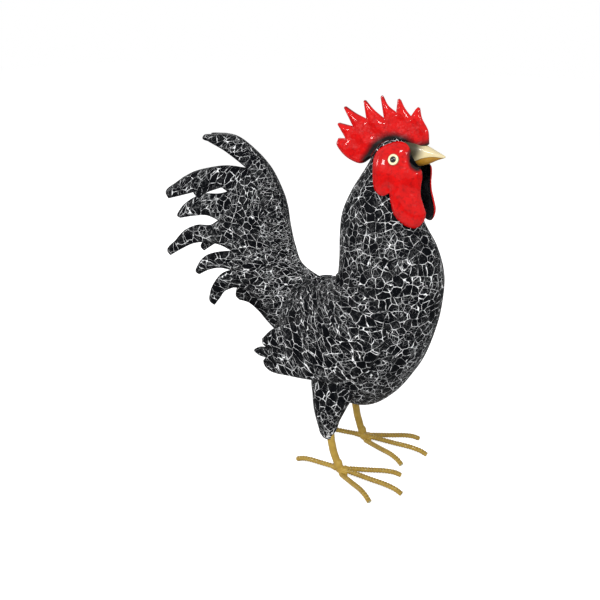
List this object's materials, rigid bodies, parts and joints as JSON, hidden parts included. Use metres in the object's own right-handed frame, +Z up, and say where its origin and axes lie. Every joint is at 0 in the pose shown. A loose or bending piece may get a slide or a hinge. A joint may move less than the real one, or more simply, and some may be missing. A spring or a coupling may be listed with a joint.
{
  "type": "standing rooster figure",
  "caption": "Standing rooster of welded, painted sheet metal: hollow body, wings, feathered tail, toothed comb, wattled face plates and round-bar legs with splayed toes.",
  "frame": {"origin": "on the ground, below the middle of the overall box", "axes": "+X forward to the beak, +Y to the bird's left, +Z up"},
  "size_m": [0.3623, 0.1594, 0.4399],
  "materials": {
    "crackle_black": "satin black paint with white crackle",
    "red_enamel": "glossy enamel",
    "beak_cream": "satin",
    "beak_ochre": "satin",
    "leg_ochre": "satin",
    "eye_enamel": "glossy enamel"
  },
  "bodies": {
    "root": {"beak_lower": "beak_ochre", "beak_upper": "beak_cream", "body_shell_left": "crackle_black", "body_shell_right": "crackle_black", "comb_left": "red_enamel", "comb_right": "red_enamel", "eye_left": "eye_enamel", "eye_right": "eye_enamel", "face_plate_left": "red_enamel", "face_plate_right": "red_enamel", "foot_weld_left": "leg_ochre", "foot_weld_right": "leg_ochre", "leg_rod_left": "leg_ochre", "leg_rod_right": "leg_ochre", "saddle_plume_left": "crackle_black", "saddle_plume_right": "crackle_black", "tail_fan_left": "crackle_black", "tail_fan_right": "crackle_black", "tail_sickle_left": "crackle_black", "tail_sickle_right": "crackle_black", "thigh_cone_left": "crackle_black", "thigh_cone_right": "crackle_black", "toe_hind_left": "leg_ochre", "toe_hind_right": "leg_ochre", "toe_inner_left": "leg_ochre", "toe_inner_right": "leg_ochre", "toe_middle_left": "leg_ochre", "toe_middle_right": "leg_ochre", "toe_outer_left": "leg_ochre", "toe_outer_right": "leg_ochre", "wing_left": "crackle_black", "wing_right": "crackle_black"}
  },
  "joints": []
}
